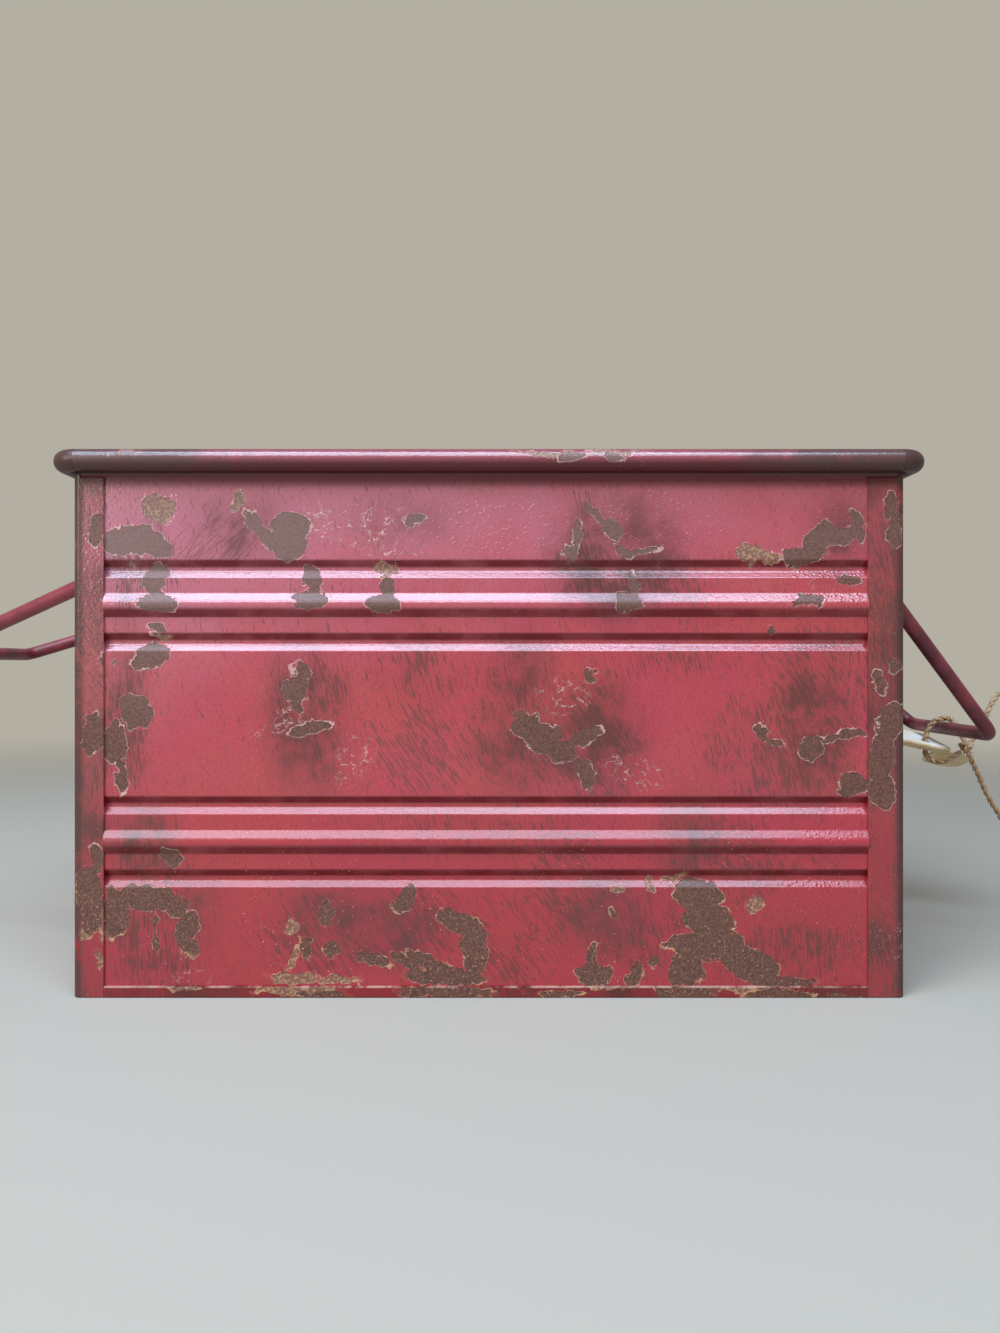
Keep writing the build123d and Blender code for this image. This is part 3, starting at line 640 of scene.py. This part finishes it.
loopRise = (gripX + overGrip, 0.0015, gripZ + overGrip)
loopReturn = (0.2145, -0.0035, 0.0735)
routes = {
    "twine_loop": [inKnot(loopRise), loopRise, (gripX - overGrip, 0.004, gripZ + overGrip),
                   (0.208, 0.006, 0.0855), (0.2085, 0.006, 0.075), loopReturn, inKnot(loopReturn)],
    "lower_tail": [inKnot((0.2265, -0.0035, 0.075)), (0.2265, -0.0035, 0.075), (0.2298, -0.003, 0.0688),
                   (0.2324, -0.002, 0.063), (0.2369, -0.001, 0.055), (0.242, -0.0005, 0.0475),
                   (0.2455, -0.001, 0.0405), (0.2468, -0.002, 0.0345)],
    "upper_tail": [inKnot((0.2308, -0.0015, 0.088)), (0.2308, -0.0015, 0.088), (0.2365, 0.002, 0.0975),
                   (0.2415, 0.0045, 0.105), (0.2485, 0.0065, 0.109), (0.2555, 0.0075, 0.1055),
                   (0.2595, 0.007, 0.098), (0.261, 0.006, 0.0905)],
}


def routeLine(name, points):
    # the smooth line of a route, as points a small step apart
    curve = bpy.data.curves.new(name, "CURVE")
    curve.dimensions = "3D"
    spline = curve.splines.new("NURBS")
    spline.points.add(len(points) - 1)
    for place, point in zip(spline.points, points):
        place.co = (*point, 1)
    spline.order_u = 3
    spline.use_endpoint_u = True
    spline.resolution_u = 40
    holder = bpy.data.objects.new(name, curve)
    scene.collection.objects.link(holder)
    mesh = bpy.data.meshes.new_from_object(holder)
    line = [vertex.co.copy() for vertex in mesh.vertices]
    bpy.data.objects.remove(holder)
    bpy.data.meshes.remove(mesh)
    return line


def evenly(line, step):
    # the same line with its points a steady step apart
    spaced = [line[0]]
    carried = 0.0
    for start, end in zip(line, line[1:]):
        run = (end - start).length
        while carried + run >= step:
            start = start.lerp(end, (step - carried) / run)
            run = (end - start).length
            carried = 0.0
            spaced.append(start)
        carried += run
    return spaced


def framesAlong(line):
    # tangent and two cross directions at each point, carried along without twist
    frames = []
    across = None
    for index in range(len(line)):
        along = (line[min(index + 1, len(line) - 1)] - line[max(index - 1, 0)]).normalized()
        if across is None:
            across = along.orthogonal().normalized()
        across = (across - along * across.dot(along)).normalized()
        frames.append((along, across, along.cross(across)))
    return frames


def twinePiece(name, line, frayed=0.0):
    # laid strands as tubes, and hairs as thin tubes that start in them
    draw = random.Random(name)
    curve = bpy.data.curves.new(name, "CURVE")
    curve.dimensions = "3D"
    curve.bevel_depth = 1.0
    curve.bevel_resolution = 2
    curve.use_fill_caps = True

    def tube(points, radii):
        spline = curve.splines.new("POLY")
        spline.points.add(len(points) - 1)
        for place, point, radius in zip(spline.points, points, radii):
            place.co = (*point, 1)
            place.radius = radius

    spaced = evenly(line, twine["step"])
    frames = framesAlong(spaced)
    length = twine["step"] * (len(spaced) - 1)
    for strand in range(2):
        points, radii = [], []
        for index, (point, (along, across, third)) in enumerate(zip(spaced, frames)):
            turn = 2 * pi * index * twine["step"] / twine["pitch"] + pi * strand
            toEnd = max(0.0, 1 - (length - index * twine["step"]) / twine["frayLength"]) * frayed
            offset = twine["offset"] * (1 + twine["fraySpread"] * toEnd)
            points.append(point + (across * cos(turn) + third * sin(turn)) * offset)
            radii.append(twine["strand"] * (1 - twine["frayThinning"] * toEnd) * draw.uniform(0.95, 1.05))
        tube(points, radii)
    for _ in range(int(twine["hairs"] * length)):
        index = draw.randrange(len(spaced))
        along, across, third = frames[index]
        turn = draw.uniform(0, 2 * pi)
        out = across * cos(turn) + third * sin(turn)
        sweep = (out * draw.uniform(0.3, 1.0) + along * draw.uniform(-1.4, 1.4)).normalized()
        reach = twine["hairReach"] * draw.uniform(0.3, 1.0)
        root = spaced[index] + out * twine["radius"] * 0.7
        points = [root + sweep * reach * part + along * reach * 0.35 * part * part
                  for part in (0, 0.35, 0.7, 1.0)]
        tube(points, [twine["hair"] * thin for thin in (1.3, 1.0, 0.8, 0.4)])
    holder = bpy.data.objects.new(name, curve)
    scene.collection.objects.link(holder)
    mesh = bpy.data.meshes.new_from_object(holder)
    bpy.data.objects.remove(holder)
    mesh.name = name
    mesh.materials.clear()
    mesh.materials.append(juteMaterial)
    mesh.polygons.foreach_set("use_smooth", [True] * len(mesh.polygons))
    piece = bpy.data.objects.new(name, mesh)
    scene.collection.objects.link(piece)
    return piece


print("twine")
lines = {name: routeLine(name, points) for name, points in routes.items()}
# the knot follows a trefoil, in steps round its one closed run
knotShape = {"steps": 48, "size": 0.00078, "depth": 1.1}
trefoil = []
for step in range(knotShape["steps"] + 1):
    turn = 2 * pi * step / knotShape["steps"]
    across = Vector((sin(turn) + 2 * sin(2 * turn), -knotShape["depth"] * sin(3 * turn),
                     cos(turn) - 2 * cos(2 * turn)))
    trefoil.append(knotCentre + knotShape["size"] * across)
knot = twinePiece("tied_knot", trefoil)
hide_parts("knot")
twinePieces = {}
for name, line in lines.items():
    piece = twinePiece(name.replace("_", "_jute_"), line, frayed=0.0 if name == "twine_loop" else 1.0)
    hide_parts(name)
    twinePieces[name] = piece
for piece in (knot, *twinePieces.values()):
    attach(piece, "right_handle")
for name, farEnd, carried in (("twine_loop", "knot", [knot, "card_tag"]), ("lower_tail", "bare", []),
                              ("upper_tail", "bare", [])):
    line = lines[name]

# The stage: a pale floor that curves up to a pale wall all round
stageShape = {"flat": 2.0, "curve": 0.8, "wall": 2.4, "steps": 12, "sides": 96}
floorMesh = bmesh.new()
profile = [floorMesh.verts.new((0, 0, 0)), floorMesh.verts.new((stageShape["flat"], 0, 0))]
for step in range(1, stageShape["steps"] + 1):
    turn = pi / 2 * step / stageShape["steps"]
    out = stageShape["flat"] + stageShape["curve"] * sin(turn)
    profile.append(floorMesh.verts.new((out, 0, stageShape["curve"] * (1 - cos(turn)))))
profile.append(floorMesh.verts.new((stageShape["flat"] + stageShape["curve"], 0, stageShape["wall"])))
edges = [floorMesh.edges.new(pair) for pair in zip(profile, profile[1:])]
bmesh.ops.spin(floorMesh, geom=profile + edges, cent=(0, 0, 0), axis=(0, 0, 1), angle=2 * pi,
               steps=stageShape["sides"], use_merge=True)
bmesh.ops.remove_doubles(floorMesh, verts=floorMesh.verts, dist=1e-5)
bmesh.ops.recalc_face_normals(floorMesh, faces=floorMesh.faces)
bmesh.ops.reverse_faces(floorMesh, faces=floorMesh.faces)
floorData = bpy.data.meshes.new("floor")
floorMesh.to_mesh(floorData)
floorMesh.free()
floorData.polygons.foreach_set("use_smooth", [True] * len(floorData.polygons))
floor = bpy.data.objects.new("floor", floorData)
scene.collection.objects.link(floor)
floorPaint, tree, shader = newMaterial("palePaintedFloor")
floorLook = {"tone": "#B4AFA3", "roughness": 0.9, "farAway": (0.5, 1.5)}    # metres from the middle
feed(tree, shader.inputs["Base Color"], floorLook["tone"])
feed(tree, shader.inputs["Roughness"], floorLook["roughness"])
# far from the bin the stage shows its own plain tone, near it the floor keeps the shadow
away = addNode(tree, "VectorMath", addNode(tree, "TexCoord").outputs["Object"], operation="LENGTH")
farAway = addNode(tree, "MapRange", away, *floorLook["farAway"], **smooth)
rays = addNode(tree, "LightPath").outputs
seen = addNode(tree, "Math", rays["Is Camera Ray"], rays["Is Glossy Ray"], **most)
seen = addNode(tree, "Math", seen, rays["Is Transmission Ray"], **most)
ownTone = addNode(tree, "Math", farAway, seen, **times)
mixed = addNode(tree, "MixShader", ownTone, shader, addNode(tree, "Emission", floorLook["tone"], 1.0))
feed(tree, tree.nodes["Material Output"].inputs["Surface"], mixed)
floorData.materials.append(floorPaint)

# Soft studio light: two wide boxes overhead, a narrow strip in front and a warmer box to the left
lamps = {
    "windowSoftbox": {"place": (-0.14, -0.878, 1.189), "size": (1.55, 0.25), "watts": 8.0,
                      "colour": (0.66, 0.8, 1.0)},
    "ceilingPanel": {"place": (-0.14, -0.57, 1.35), "size": (1.55, 0.32), "watts": 18.0,
                     "colour": (0.6, 0.78, 1.0)},
    "lowStrip": {"place": (-0.3, -1.04, 1.05), "size": (1.3, 0.15), "watts": 6.5,
                 "colour": (0.82, 0.88, 1.0)},
    "sideSoftbox": {"place": (-1.5, -1.55, 0.7), "size": (1.0, 1.0), "watts": 21.0,
                    "colour": (1.0, 0.96, 0.91)},
}
aim = Vector((0, 0, 0.1))
for name, lamp in lamps.items():
    light = bpy.data.lights.new(name, "AREA")
    light.shape = "RECTANGLE"
    light.size, light.size_y = lamp["size"]
    light.energy = lamp["watts"]
    light.color = lamp["colour"]
    holder = bpy.data.objects.new(name, light)
    holder.location = lamp["place"]
    holder.rotation_euler = (aim - Vector(lamp["place"])).to_track_quat("-Z", "Y").to_euler()
    scene.collection.objects.link(holder)

print("room light and camera")
room = {"colour": (1.0, 0.97, 0.93, 1.0), "strength": 0.3}
world = bpy.data.worlds.new("paleRoom")
world.use_nodes = True
background = world.node_tree.nodes["Background"]
background.inputs["Color"].default_value = room["colour"]
background.inputs["Strength"].default_value = room["strength"]
scene.world = world

# The camera looks straight at the front, as the photograph does
view = {"place": (0.004, -0.475, 0.1194), "lens": 27.0, "sensor": 36.0}
camera = bpy.data.cameras.new("camera")
camera.lens = view["lens"]
camera.sensor_width = view["sensor"]
camera.clip_start = 0.01
cameraHolder = bpy.data.objects.new("camera", camera)
cameraHolder.location = view["place"]
cameraHolder.rotation_euler = (radians(90), 0, 0)
scene.collection.objects.link(cameraHolder)
scene.camera = cameraHolder
scene.view_settings.view_transform = "Standard"
